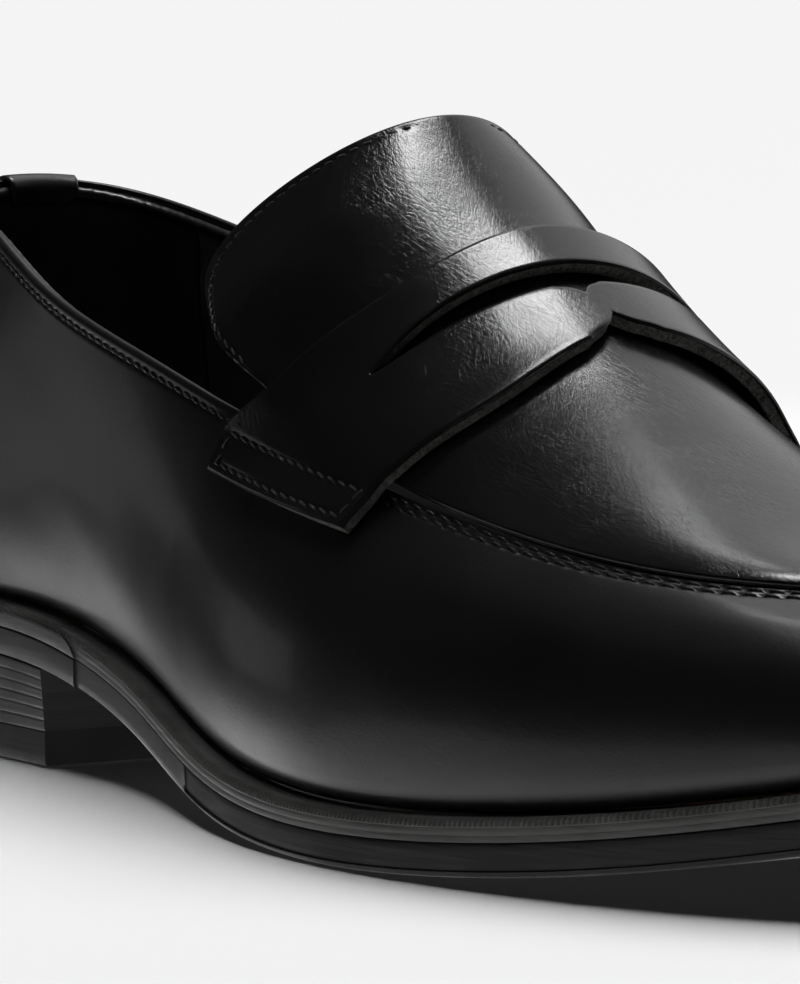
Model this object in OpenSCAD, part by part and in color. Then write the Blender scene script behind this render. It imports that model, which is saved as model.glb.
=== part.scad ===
// Penny loafer, right shoe. Toe +X, outer (lateral) side -Y, up +Z, ground z = 0.
// Upper, sole and linings are lofts built from one shared last surface.

/* [Leather] */
// Upper leather thickness, mm
upper_t = 1.6; // [1:0.1:2.4]
// Apron and tongue leather thickness, mm
apron_t = 1.4; // [1:0.1:2]
// How far the apron face stands above the wall face, mm
apron_lift = 0.6; // [0.2:0.1:1]
// Strap top skin thickness, mm
strap_skin_t = 1.1; // [0.8:0.1:2]
// Strap fibre core thickness, mm
strap_core_t = 1.3; // [0.8:0.1:2.5]
// Lining leather thickness, mm
lining_t = 1; // [0.6:0.1:1.4]
// Stiffener thickness at toe and heel, mm
stiff_t = 1.2; // [0.8:0.1:1.4]

/* [Strap] */
// Rear edge height of the strap over the ridge, in apron rows
strap_rear_peak = 0.54; // [0.3:0.02:0.7]
// Front edge height of the strap over the ridge, in apron rows
strap_front_peak = 0.55; // [0.3:0.02:0.7]
// Depth of the notch in the strap front edge, in apron rows
strap_notch = 0.16; // [0:0.01:0.3]
// Half length of the slot, as a share of the girth
slot_half = 0.205; // [0.1:0.005:0.22]
// Upper lip height of the slot, in apron rows
slot_upper = 0.52; // [0.4:0.01:0.6]
// Lower lip height of the slot, in apron rows
slot_lower = 0.33; // [0.2:0.01:0.38]
// How far the strap stands off the apron on the inner side, mm
strap_stand = 1.4; // [0:0.1:2.5]

/* [Sole] */
// Welt thickness, mm
welt_t = 3.8; // [3:0.1:5]
// Outsole thickness, mm
sole_t = 5; // [3:0.1:6]
// How far the sole edge stands outside the upper, mm
sole_edge = 3.5; // [2:0.1:6]
// Front face of the heel, x in mm
breast_x = -69.5; // [-80:0.5:-60]
// Rubber top lift thickness, mm
top_lift_t = 6; // [4:0.5:8]
// Joint between waist sole and forefoot sole, x in mm
joint_x = 0; // [-40:1:20]

/* [Thread] */
// Sewing thread radius, mm
thread_r = 0.3; // [0.2:0.05:0.5]

/* [Hidden] */
// Loop stations, heel back round the lateral side to the toe and back.
// Columns: feather x, y; top edge x, y, z; lean out at feather, lean in at top.
loop = [
  [-150,   2, -145,   2,   100,  12, 14],
  [-144, -29, -137, -22,    97,  14, 10],
  [-111, -35, -106, -29,    94,  14,  6],
  [ -72, -33,  -70, -37,    80,  16,  2],
  [ -32, -36,  -30, -39,    71.5, 16, 8],
  [   8, -49,   10, -39,    61,  14, 30],
  [  49, -57,   49, -39.5,  52.7, 12, 56],
  [  95, -47,   88, -30,    44.5, 12, 62],
  [ 134, -27,  112, -17,    43,  10, 66],
  [ 152,   4,  121,   3,    42,   8, 68],
  [ 138,  30,  112,  20,    42,  10, 66],
  [ 102,  44,   88,  29,    45,  12, 62],
  [  62,  50,   50,  33,    52.5, 14, 54],
  [  20,  44,   12,  35,    62,  16, 28],
  [ -20,  32,  -30,  37,    71,  20,  8],
  [ -66,  29,  -70,  35,    80,  18,  2],
  [-110,  33, -106,  28,    89,  14,  6],
  [-144,  29, -137,  23,    97,  14, 10]];
toe = 9;
count = len(loop);
// Height of the welt top along the shoe, x and z.
profile = [[-152, 31.5], [-112, 27], [-74, 27], [-38, 20], [0, 11.8],
           [40, 8.1], [80, 9.2], [120, 14.2], [156, 23]];
// Ridge line of apron and tongue, toe to tongue tip.
ridge = [[118, 3, 41.5], [103, 3, 47], [84, 3, 55], [61, 3, 65.5],
         [38, 2.5, 78.5], [16, 2, 94], [-2, 1.5, 110]];
// Slope of the apron at its side edges, toe to tongue tip, degrees.
rise = [34, 36, 40, 45, 52, 60, 66];
// Free tongue edges, which leave the top line behind the strap.
tongue_lateral = [[-9, -35, 79.5], [-6, -44, 75.5], [17, -37.5, 62.5]];
tongue_medial = [[16, 37, 65], [-6, 39, 76], [-7, 35, 80]];
tongue_last = 6;
tongue_base = 4.2;
tongue_power = 8;

top_edge = [for (s = loop) [s[2], s[3], s[4]]];
apron_edge = [for (k = [0:count - 1])
  k >= toe - 6 && k <= toe - 4 ? tongue_lateral[k - toe + 6]
  : k >= toe + 4 && k <= toe + 6 ? tongue_medial[k - toe - 4]
  : top_edge[k]];
stations = [0:0.25:17.75];
wall_rows = [0, 0.12, 0.26, 0.4, 0.54, 0.68, 0.8, 0.9, 1];
stiff_rows = [0.03, 0.15, 0.3, 0.45, 0.58, 0.7];
apron_cols = 16;
// Stations where the heel rand ends and the welt begins, outer and inner side.
rand_lateral = 3.38;
rand_medial = 14.75;
clear = 0.25;

// ---- curves ----
function weights(f) = [pow(1 - f, 3) / 6, (3 * pow(f, 3) - 6 * f * f + 4) / 6,
  (-3 * pow(f, 3) + 3 * f * f + 3 * f + 1) / 6, pow(f, 3) / 6];

// Closed uniform cubic B-spline through the control list c.
function ring(c, t) =
  let (n = len(c), i = floor(t), w = weights(t - i))
  w[0] * c[(i - 1 + 2 * n) % n] + w[1] * c[(i + 2 * n) % n]
  + w[2] * c[(i + 1 + 2 * n) % n] + w[3] * c[(i + 2 + 2 * n) % n];

// Open uniform cubic B-spline that reaches both ends of the list.
function span(c, t) =
  let (n = len(c), i = max(0, min(n - 2, floor(t))), w = weights(t - i),
       a = i > 0 ? c[i - 1] : 2 * c[0] - c[1],
       b = i + 2 < n ? c[i + 2] : 2 * c[n - 1] - c[n - 2])
  w[0] * a + w[1] * c[i] + w[2] * c[i + 1] + w[3] * b;

function unit(v) = v / norm(v);
function ease(x) = let (s = max(0, min(1, x))) s * s * (3 - 2 * s);
function hill(x, width) = exp(-(x / width) * (x / width));
profile_fine = [for (i = [0:96]) span(profile, i / 12)];
// Lifted so that the lowest point of the forefoot sole just meets the ground.
lowest = min([for (p = profile_fine) p[1]]);
function ground(x) = lookup(x, profile_fine) - lowest + welt_t + sole_t;

// ---- last surface ----
function outline(t, out) =
  let (a = ring(loop, t - 0.001), b = ring(loop, t + 0.001), p = ring(loop, t),
       d = unit([b[0] - a[0], b[1] - a[1]]))
  [p[0] + d[1] * out, p[1] - d[0] * out];

function wall(t, v) =
  let (s = ring(loop, t), a = ring(loop, t - 0.001), b = ring(loop, t + 0.001),
       d = unit([b[0] - a[0], b[1] - a[1]]), n = [d[1], -d[0], 0], z = [0, 0, 1],
       f = [s[0], s[1], ground(s[0])], e = [s[2], s[3], s[4]], h = norm(e - f),
       full = max(0, min(1, (s[6] - 20) / 30)),
       p = f + h * (0.38 + 0.2 * full) * (cos(s[5]) * z + sin(s[5]) * n),
       q = e - h * (0.38 - 0.1 * full) * (cos(s[6]) * z - sin(s[6]) * n), w = 1 - v)
  w * w * w * f + 3 * w * w * v * p + 3 * w * v * v * q + v * v * v * e;

function wall_normal(t, v) =
  unit(cross(wall(t + 0.01, v) - wall(t - 0.01, v), wall(t, v + 0.01) - wall(t, v - 0.01)));
function wall_at(t, v, out) = wall(t, v) + out * wall_normal(t, v);
function wall_height(t) = norm(wall(t, 1) - wall(t, 0));
// Share of the wall height that lies a distance below the top edge.
function below(t, d) = 1 - d / wall_height(t);
function behind(t) = let (k = (t % count + count) % count) min(k, count - k);
// The lining stops short of the top line where the collar binding sits.
function wall_top(t) = 1 - 2.5 * (1 - ease((behind(t) - 4.5) / 0.4)) / wall_height(t);

// Rows bunch up at the toe, where they shrink to the tip of the apron.
function ridge_row(w) = w * (1 - exp(-pow(max(0, w) / 0.6, 1.5)));

function apron(w, t) =
  let (e = ring(apron_edge, toe - w), g = ring(apron_edge, toe + w),
       tip = ring(apron_edge, toe), k = pow(max(0, 1 - w), 2),
       r = span(ridge, ridge_row(w)) + k * (tip - ridge[0]), a = span(rise, w),
       flat = [g[0] - e[0], g[1] - e[1], 0] / 2, l = norm(flat) / 2, h = unit(flat),
       z = [0, 0, 1], q = e + l * (cos(a) * h + sin(a) * z),
       p = g + l * (sin(a) * z - cos(a) * h), m = (16 * r - e - 4 * q - 4 * p - g) / 6,
       s = 1 - t)
  pow(s, 4) * e + 4 * pow(s, 3) * t * q + 6 * s * s * t * t * m
  + 4 * s * pow(t, 3) * p + pow(t, 4) * g;

function apron_normal(w, t) =
  unit(cross(apron(w, t + 0.01) - apron(w, t - 0.01), apron(w + 0.02, t) - apron(w - 0.02, t)));
function apron_at(w, t, out) = apron(w, t) + out * apron_normal(w, t);
function tongue_end(t) =
  let (x = min(1, abs(2 * t - 1)))
  tongue_base + (tongue_last - tongue_base) * pow(1 - pow(x, tongue_power), 1 / tongue_power);

// Girth surface: lateral wall, apron, medial wall as one path, g from 0 to 1.
function girth(w, g) =
  g < 0.2 ? wall(toe - w, 0.5 + 2.5 * g)
  : g > 0.8 ? wall(toe + w, 0.5 + 2.5 * (1 - g))
  : apron(w, (g - 0.2) / 0.6);
function girth_normal(w, g) =
  unit(cross(girth(w, g + 0.03) - girth(w, g - 0.03), girth(w + 0.02, g) - girth(w - 0.02, g)));
function girth_at(w, g, out) = girth(w, g) + out * girth_normal(w, g);

// ---- solids ----
// Middle of the sole outline, moved to the origin.
edge = [for (t = [0:0.05:17.95]) outline(t, sole_edge)];
middle = [(min([for (p = edge) p[0]]) - 0.4 + max([for (p = edge) p[0]])) / 2,
          (min([for (p = edge) p[1]]) + max([for (p = edge) p[1]])) / 2, 0];

// Rows are closed loops: face points one way, back points the other way.
module loft(rows, wrap = false) {
  n = len(rows[0]);
  k = len(rows);
  sides = [for (i = [0:k - (wrap ? 1 : 2)], j = [0:n - 1])
    let (a = i * n + j, b = i * n + (j + 1) % n,
         c = (i + 1) % k * n + (j + 1) % n, d = (i + 1) % k * n + j)
    each [[a, b, c], [a, c, d]]];
  e = (k - 1) * n;
  caps = wrap ? [] : [for (j = [0:n / 2 - 2])
    each [[j, n - 1 - j, j + 1], [j + 1, n - 1 - j, n - 2 - j],
          [e + j, e + j + 1, e + n - 1 - j], [e + j + 1, e + n - 2 - j, e + n - 1 - j]]];
  polyhedron([for (r = rows, p = r) p - middle], concat(sides, caps), convexity = 10);
}

// Sheet of the wall between two depths, over a list of stations and rows.
function wall_row(t, rows, face, back, top) = concat(
  [for (v = rows) wall_at(t, v * top, -face)],
  [for (i = [len(rows) - 1:-1:0]) wall_at(t, rows[i] * top, -back)]);

// Round cord lying along points p with surface normals n.
module cord(p, n, closed = false, sides = 6) {
  k = len(p);
  rows = [for (i = [0:k - 1])
    let (a = p[closed ? (i + k - 1) % k : max(0, i - 1)],
         b = p[closed ? (i + 1) % k : min(k - 1, i + 1)],
         u = n[i], s = unit(cross(b - a, u)), u2 = unit(cross(s, b - a)))
    [for (j = [0:sides - 1]) let (q = 360 * (j + 0.5) / sides)
      p[i] + thread_r * (cos(q) * s + sin(q) * u2)]];
  loft(rows, closed);
}

// Station on one side of the shoe where the outline reaches x.
function find(x, out, lo, hi, n = 20) =
  n == 0 ? (lo + hi) / 2
  : let (m = (lo + hi) / 2, px = outline(m, out)[0])
    (px < x) == (lo < toe) ? find(x, out, m, hi, n - 1) : find(x, out, lo, m, n - 1);
function side_y(x, out, lateral) =
  let (t = lateral ? find(x, out, 0, toe) : find(x, out, toe, count)) outline(t, out)[1];
function heel_end(out) = outline(0, out)[0] + 0.1;
function toe_end(out) = outline(toe, out)[0] - 0.1;
// Spread n + 1 positions from a to b, closer together at the rounded ends.
function spread(a, b, n, tight_a, tight_b) = [for (i = [0:n]) let (s = i / n,
  q = tight_a && tight_b ? (1 - cos(180 * s)) / 2 : tight_a ? 1 - cos(90 * s)
    : tight_b ? sin(90 * s) : s) a + (b - a) * q];

// Plate row across the shoe at x, between two heights over the welt profile.
function plate_row(x, out, up, down, cols) =
  let (a = side_y(x, out, true), b = side_y(x, out, false))
  concat([for (j = [0:cols]) [x, a + (b - a) * j / cols, up]],
         [for (j = [cols:-1:0]) [x, a + (b - a) * j / cols, down]]);

// Sole row with a bevelled lower edge.
function sole_row(x, out, up, down, cols) =
  let (a = side_y(x, out, true), b = side_y(x, out, false), bevel = 0.7)
  concat([for (j = [0:cols]) [x, a + (b - a) * j / cols, up]],
         [[x, b, down + bevel]],
         [for (j = [cols:-1:0]) [x, (a + bevel) + (b - a - 2 * bevel) * j / cols, down]],
         [[x, a, down + bevel]]);

// ---- sole and heel ----
module outsole() color("#2c2c2e")
  loft([for (x = spread(heel_end(sole_edge), joint_x - 0.2, 20, true, false))
    sole_row(x, sole_edge, ground(x) - welt_t, ground(x) - welt_t - sole_t, 5)]);

module forefoot_sole() color("#262628")
  loft([for (x = spread(joint_x + 0.2, toe_end(sole_edge), 24, false, true))
    sole_row(x, sole_edge, ground(x) - welt_t, ground(x) - welt_t - sole_t, 5)]);

// Strip under the feather edge, from just outside it to inside the upper.
function strip_row(t, out) =
  let (a = outline(t, out), b = outline(t, -4))
  [[a[0], a[1], ground(a[0]) - 0.15], [a[0], a[1], ground(a[0]) - welt_t + 0.1],
   [b[0], b[1], ground(b[0]) - welt_t + 0.1], [b[0], b[1], ground(b[0]) - 0.15]];

module welt() color("#303032")
  loft([for (i = [0:48]) strip_row(rand_lateral + (rand_medial - rand_lateral) * i / 48, sole_edge)]);

module heel_rand() color("#343436")
  loft([for (i = [0:28]) strip_row(rand_medial - count + (rand_lateral + count - rand_medial) * i / 28,
                                  sole_edge + 0.4)]);

// One layer of the heel; the outline draws in slightly towards the ground.
module heel_layer(up, down, out_up, out_down) {
  loft([for (s = spread(0, 1, 16, true, false))
    let (x = heel_end(out_up) + (breast_x - heel_end(out_up)) * s,
         y = heel_end(out_down) + (breast_x - heel_end(out_down)) * s,
         a = plate_row(x, out_up, up(x), 0, 4), b = plate_row(y, out_down, 0, down(y), 4))
    concat([for (j = [0:4]) a[j]], [for (j = [5:9]) b[j]])]);
}
function heel_seat(x) = ground(x) - welt_t - sole_t - 0.1;
// Height of a lift joint: share s of the way from the top lift to the seat.
function lift_z(x, s) = top_lift_t + s * (heel_seat(x) - top_lift_t);

module heel_lift_upper() color("#2e2e30")
  heel_layer(function (x) heel_seat(x), function (x) lift_z(x, 0.68), 3.3, 3);
module heel_lift_middle() color("#2c2c2e")
  heel_layer(function (x) lift_z(x, 0.68) - 0.1, function (x) lift_z(x, 0.36), 3, 2.7);
module heel_lift_lower() color("#2e2e30")
  heel_layer(function (x) lift_z(x, 0.36) - 0.1, function (x) top_lift_t + 0.1, 2.7, 2.4);
module heel_top_lift() color("#1c1c1e")
  heel_layer(function (x) top_lift_t, function (x) 0, 2.4, 2.2);

// ---- inside the bottom ----
module bottom_filler() color("#8a6b4a")
  loft([for (x = spread(-22, 128, 18, false, true))
    plate_row(x, -5, ground(x) - 0.35, ground(x) - welt_t + 0.15, 4)]);

module shank() color("#9a9ca0")
  loft([for (i = [0:12]) let (x = -100 + 6 * i, z = ground(x) - 2.2, y = -1 - i / 12)
    [[x, y - 7, z], [x, y, z + 0.4], [x, y + 7, z],
     [x, y + 7, z - 1.2], [x, y, z - 0.8], [x, y - 7, z - 1.2]]]);

module shank_rivets() color("#b08d4a")
  for (x = [-92, -36])
    translate([x, -1.5, ground(x) - 1.65] - middle) cylinder(r = 2, h = 1.4, $fn = 20);

module insole_board() color("#a88a62")
  loft([for (x = spread(heel_end(-4.8), toe_end(-4.8), 30, true, true))
    plate_row(x, -4.8, ground(x) + 1.9, ground(x) + 0.1, 5)]);

// The cushion thins out to nothing at the front of the heel.
function cushion(x) = 0.3 + 2.7 * (1 - ease((x + 96) / 26));
module heel_pad() color("#d8d2c4")
  loft([for (x = spread(heel_end(-5.2), -71, 12, true, false))
    plate_row(x, -5.2, ground(x) + 2 + cushion(x), ground(x) + 2, 4)]);

module sock_lining() color("#242424")
  loft([for (x = spread(heel_end(-5.2), toe_end(-5.2), 30, true, true))
    plate_row(x, -5.2, ground(x) + 3.2 + cushion(x), ground(x) + 2.1 + cushion(x), 5)]);

// ---- upper ----
module upper_wall() color("#1b1b1d")
  loft([for (t = stations) wall_row(t, wall_rows, 0, upper_t, 1)], true);

// Apron rows run from the toe to the rounded tongue end; inset pulls the rim in.
function apron_row(c, inset, face, back, first) =
  let (q = [for (j = [0:apron_cols])
    let (t = inset + (1 - 2 * inset) * (1 - cos(180 * j / apron_cols)) / 2,
         last = tongue_end((t - inset) / (1 - 2 * inset)) - inset * 6)
    [first + (last - first) * c, t]])
  concat([for (p = q) apron_at(p[0], p[1], face)],
         [for (j = [apron_cols:-1:0]) apron_at(q[j][0], q[j][1], back)]);

module apron_tongue() color("#1d1d1f")
  loft([for (i = [0:24]) apron_row(i / 24, 0.004, apron_lift, apron_lift - apron_t, 0.12)]);

module tongue_lining() color("#262626")
  loft([for (i = [0:22])
    apron_row(i / 22, 0.03, apron_lift - apron_t - 0.12,
              apron_lift - apron_t - 0.12 - lining_t, 0.5)]);

// ---- strap ----
function strap_rear(g) = 4.2 + strap_rear_peak * hill(g - 0.5, 0.17);
function strap_front(g) = 3.12 + strap_front_peak * hill(g - 0.5, 0.14)
  + strap_notch * max(0, 1 - abs(g - 0.495) / 0.04);
function slot_shape(g) = max(0, 1 - pow((g - 0.485) / slot_half, 2));
function slot_high(g) = 3.84 + slot_upper * pow(slot_shape(g), 1.1);
function slot_low(g) = 3.84 + slot_lower * pow(slot_shape(g), 1.5)
  - 0.1 * max(0, 1 - abs(g - 0.485) / 0.02);
// Underside height: flat on the wall, over the raised apron, standing off on the inner side.
function strap_base(g) = 0.2 + (apron_lift + 0.1)
  * ease((g - 0.15) / 0.06) * ease((0.85 - g) / 0.06) + strap_stand * hill(g - 0.66, 0.1);
// The strap ends are cut on a slant: shorter at the rear edge.
function strap_slant(w, g) = g + 0.022 * (w - 3.12) / 1.08
  * (ease((0.22 - g) / 0.12) - ease((g - 0.78) / 0.12));
function strap_at(w, g, out) = girth_at(w, strap_slant(w, g), strap_base(g) + out);
function strap_columns() = [0.1, 0.12, 0.14, 0.16, 0.18, 0.2, 0.22, 0.24, 0.26, 0.278, 0.3,
  0.315, 0.33, 0.35, 0.37, 0.39, 0.41, 0.43, 0.455, 0.465, 0.485, 0.495, 0.505, 0.535,
  0.55, 0.57, 0.59, 0.61, 0.63, 0.65, 0.67, 0.692, 0.71, 0.73, 0.75, 0.77, 0.79, 0.81,
  0.83, 0.85, 0.87, 0.89, 0.9];

// Strap sheet with its slot; columns run along the girth, eight points across.
module strap_sheet(from, to) {
  cols = strap_columns();
  k = len(cols);
  slot = [for (i = [0:k - 1]) if (slot_shape(cols[i]) > 0) i];
  first = slot[0] - 1;
  last = slot[len(slot) - 1] + 1;
  function across(g, j) = j < 4
    ? strap_front(g) + (slot_low(g) - strap_front(g)) * j / 3
    : slot_high(g) + (strap_rear(g) - slot_high(g)) * (j - 4) / 3;
  pts = [for (i = [0:k - 1], s = [to, from], j = [0:7])
    strap_at(across(cols[i], j), cols[i], s) - middle];
  // Outside the slot the two middle points are one.
  function id(i, s, j) = i * 16 + s * 8 + (j == 4 && (i <= first || i >= last) ? 3 : j);
  bands = [for (i = [0:k - 2], j = [0, 1, 2, 4, 5, 6])
    let (a = id(i, 0, j), b = id(i, 0, j + 1), c = id(i + 1, 0, j + 1), d = id(i + 1, 0, j),
         e = id(i, 1, j), f = id(i, 1, j + 1), g = id(i + 1, 1, j + 1), h = id(i + 1, 1, j))
    each [[a, b, c], [a, c, d], [e, g, f], [e, h, g]]];
  rims = [for (i = [0:k - 2])
    let (a = id(i, 0, 0), b = id(i + 1, 0, 0), c = id(i + 1, 1, 0), d = id(i, 1, 0),
         e = id(i, 0, 7), f = id(i + 1, 0, 7), g = id(i + 1, 1, 7), h = id(i, 1, 7))
    each [[a, b, c], [a, c, d], [e, g, f], [e, h, g]]];
  lips = [for (i = [first:last - 1])
    let (a = id(i, 0, 3), b = id(i + 1, 0, 3), c = id(i + 1, 1, 3), d = id(i, 1, 3),
         e = id(i, 0, 4), f = id(i + 1, 0, 4), g = id(i + 1, 1, 4), h = id(i, 1, 4))
    each [[a, c, b], [a, d, c], [e, f, g], [e, g, h]]];
  ends = [for (j = [0, 1, 2, 4, 5, 6])
    let (a = id(0, 0, j), b = id(0, 0, j + 1), c = id(0, 1, j + 1), d = id(0, 1, j),
         e = id(k - 1, 0, j), f = id(k - 1, 0, j + 1), g = id(k - 1, 1, j + 1),
         h = id(k - 1, 1, j))
    each [[a, c, b], [a, d, c], [e, f, g], [e, g, h]]];
  polyhedron(pts, concat(bands, rims, lips, ends), convexity = 10);
}

module strap_core() color("#3a3735") strap_sheet(0, strap_core_t);
module strap_leather() color("#1d1d1f")
  strap_sheet(strap_core_t + 0.05, strap_core_t + 0.05 + strap_skin_t);

// ---- collar and heel ----
// Rolled edge inside the top of the wall, over the lining, from strap to strap round the heel.
module collar_binding() color("#242426")
  loft([for (t = spread(-4.7, 4.7, 42, false, false))
    let (n = wall_normal(t, 0.97), m = wall_at(t, below(t, 1.5), -2.8),
         u = unit(wall(t, 1) - wall(t, 0.94)))
    [for (q = [0:7]) let (a = 360 * (q + 0.5) / 8)
      m + 1.05 * cos(a) * n + 1.05 * sin(a) * u]]);

module back_stay() color("#1f1f21")
  loft([for (i = [-4:4])
    let (rows = [0.4, 0.5, 0.6, 0.7, 0.8, 0.9, 0.98])
    concat([for (v = rows) wall_at(i * (0.06 + 0.03 * v), v * wall_top(0), 1.1)],
           [for (j = [6:-1:0]) wall_at(i * (0.06 + 0.03 * rows[j]), rows[j] * wall_top(0), 0.15)])]);

// ---- linings and stiffeners ----
// Extra depth that lets the lining pass over the toe and heel stiffeners.
function stiff_zone(t) =
  let (h = behind(t)) max(1 - ease((h - 2.6) / 0.7), 1 - ease((abs(h - 9) - 1.9) / 0.7));
function lining_depth(t, v) =
  upper_t + clear + (stiff_t + clear) * stiff_zone(t) * (1 - ease((v - 0.74) / 0.2));

function lining_row(t) =
  let (top = wall_top(t) - 0.01) concat(
    [for (v = wall_rows) wall_at(t, v * top, -lining_depth(t, v))],
    [for (i = [len(wall_rows) - 1:-1:0])
      wall_at(t, wall_rows[i] * top, -lining_depth(t, wall_rows[i]) - lining_t)]);
// Lining panel between two stations, with a narrow joint at each end.
module lining_panel(from, to) {
  gap = 0.02;
  loft([for (t = concat([from + gap], [for (s = [from + 0.25:0.25:to - 0.25]) s], [to - gap]))
    lining_row(t)]);
}

module heel_grip() color("#2a2a2a") lining_panel(-1.5, 1.5);
module quarter_lining_lateral() color("#262626") lining_panel(1.5, 5.25);
module vamp_lining() color("#2b2a28") lining_panel(5.25, 12.75);
module quarter_lining_medial() color("#262626") lining_panel(12.75, 16.5);

module stiffener(from, to)
  loft([for (t = [from:0.25:to])
    wall_row(t, stiff_rows, upper_t + 0.1, upper_t + 0.1 + stiff_t, 1)]);
module toe_puff() color("#b9a98c") stiffener(7.25, 10.75);
module heel_counter() color("#b9a98c") stiffener(-2.5, 2.5);

// ---- threads ----
module wall_thread(list, d, out) {
  cord([for (t = list) wall_at(t, below(t, d), out)], [for (t = list) wall_normal(t, 0.9)]);
}

module apron_threads() color("#3c3c40") {
  run = [for (i = [0:46]) 5.96 + 6.08 * i / 46];
  wall_thread(run, 1.35, thread_r + 0.08);
  wall_thread(run, 2.9, thread_r + 0.08);
}

module collar_threads() color("#3c3c40")
  wall_thread([for (i = [0:50]) -4.66 + 9.32 * i / 50], 2.1, thread_r + 0.08);

module tongue_threads() color("#3c3c40") {
  w0 = 4.45;
  run = [for (i = [0:36]) let (a = 180 * i / 36, c = cos(a), s = sin(a), e = 0.3)
    [w0 + (5.86 - w0) * pow(s, e), 0.5 - 0.472 * sign(c) * pow(abs(c), e)]];
  cord([for (p = run) apron_at(p[0], p[1], apron_lift + thread_r + 0.08)],
       [for (p = run) apron_normal(p[0], p[1])]);
}

// Box stitch through a strap end.
module strap_box(g_end, g_in) {
  w_lo = 3.18;
  w_hi = 4.14;
  h = strap_core_t + 0.05 + strap_skin_t + thread_r + 0.08;
  run = concat([for (i = [0:8]) [w_lo + (w_hi - w_lo) * i / 8, g_end]],
               [for (i = [1:3]) [w_hi, g_end + (g_in - g_end) * i / 4]],
               [for (i = [8:-1:0]) [w_lo + (w_hi - w_lo) * i / 8, g_in]],
               [for (i = [3:-1:1]) [w_lo, g_end + (g_in - g_end) * i / 4]]);
  cord([for (p = run) strap_at(p[0], p[1], h)],
       [for (p = run) girth_normal(p[0], strap_slant(p[0], p[1]))], closed = true);
}
module strap_threads_lateral() color("#3c3c40") strap_box(0.113, 0.163);
module strap_threads_medial() color("#3c3c40") strap_box(0.887, 0.837);

module back_stay_threads() color("#3c3c40")
  for (side = [-1, 1]) {
    run = [for (i = [0:8]) 0.42 + 0.54 * i / 8];
    cord([for (v = run) wall_at(side * 3.5 * (0.06 + 0.03 * v), v * wall_top(0), 1.1 + thread_r + 0.05)],
         [for (v = run) wall_normal(side * 0.6, v)]);
  }

outsole();
forefoot_sole();
welt();
heel_rand();
heel_lift_upper();
heel_lift_middle();
heel_lift_lower();
heel_top_lift();
bottom_filler();
shank();
shank_rivets();
insole_board();
heel_pad();
sock_lining();
upper_wall();
apron_tongue();
strap_leather();
strap_core();
collar_binding();
back_stay();
toe_puff();
heel_counter();
quarter_lining_lateral();
quarter_lining_medial();
heel_grip();
vamp_lining();
tongue_lining();
apron_threads();
collar_threads();
tongue_threads();
strap_threads_lateral();
strap_threads_medial();
back_stay_threads();
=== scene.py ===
"""Penny loafer, right shoe: the detailed visual model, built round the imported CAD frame.

Lengths are in millimetres inside the shape functions and in metres once a mesh is made.
Toe +X, outer (lateral) side -Y, up +Z, ground z = 0.
"""

import math

import bmesh
import bpy
import numpy as np
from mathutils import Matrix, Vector


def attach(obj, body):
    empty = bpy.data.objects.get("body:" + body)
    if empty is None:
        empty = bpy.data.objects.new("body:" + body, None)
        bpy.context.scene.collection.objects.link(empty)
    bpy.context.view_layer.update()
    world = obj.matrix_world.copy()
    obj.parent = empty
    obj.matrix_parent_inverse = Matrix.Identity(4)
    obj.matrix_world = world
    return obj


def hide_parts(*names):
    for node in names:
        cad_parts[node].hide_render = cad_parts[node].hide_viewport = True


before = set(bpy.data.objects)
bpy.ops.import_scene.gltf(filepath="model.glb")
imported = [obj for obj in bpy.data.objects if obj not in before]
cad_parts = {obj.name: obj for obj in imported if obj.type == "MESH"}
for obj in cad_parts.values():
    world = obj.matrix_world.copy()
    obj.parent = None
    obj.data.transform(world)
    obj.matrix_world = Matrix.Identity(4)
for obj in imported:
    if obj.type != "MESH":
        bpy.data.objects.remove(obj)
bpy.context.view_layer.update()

# ---------------- sizes, mm
UPPER_T = 1.6
APRON_T = 1.4
APRON_LIFT = 0.7
SKIN_T = 0.5
CORE_T = 2.0
LINING_T = 1.0
STIFF_T = 1.2
WELT_T = 3.8
SOLE_T = 5.0
SOLE_EDGE = 3.5
BREAST_X = -69.5
TOP_LIFT_T = 6.0
JOINT_X = 0.0
NOTCH_PITCH = 0.98
NOTCH_DEPTH = 0.6

# ---------------- shared last
# Loop stations, heel back round the lateral side to the toe and back.
# Columns: feather x, y; top edge x, y, z; lean out at feather, lean in at top.
LOOP = np.array([
    [-150, 2, -145, 2, 100, 12, 14],
    [-144, -29, -137, -22, 97, 14, 10],
    [-111, -35, -106, -29, 94, 14, 6],
    [-72, -33, -70, -37, 80, 16, 2],
    [-32, -36, -30, -39, 71.5, 16, 8],
    [8, -49, 10, -39, 61, 14, 30],
    [49, -57, 49, -39.5, 52.7, 12, 56],
    [95, -47, 88, -30, 44.5, 12, 62],
    [134, -27, 112, -17, 43, 10, 66],
    [152, 4, 121, 3, 42, 8, 68],
    [138, 30, 112, 20, 42, 10, 66],
    [102, 44, 88, 29, 45, 12, 62],
    [62, 50, 50, 33, 52.5, 14, 54],
    [20, 44, 12, 35, 62, 16, 28],
    [-20, 32, -30, 37, 71, 20, 8],
    [-66, 29, -70, 35, 80, 18, 2],
    [-110, 33, -106, 28, 89, 14, 6],
    [-144, 29, -137, 23, 97, 14, 10]], float)
TOE = 9
COUNT = len(LOOP)
PROFILE = np.array([[-152, 31.5], [-112, 27], [-74, 27], [-38, 20], [0, 11.8],
                    [40, 8.1], [80, 9.2], [120, 14.2], [156, 23]], float)
RIDGE = np.array([[118, 3, 41.5], [103, 3, 47], [84, 3, 55], [61, 3, 65.5],
                  [38, 2.5, 78.5], [16, 2, 94], [-2, 1.5, 110]], float)
RISE = np.array([[34], [36], [40], [45], [52], [60], [66]], float)
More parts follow.
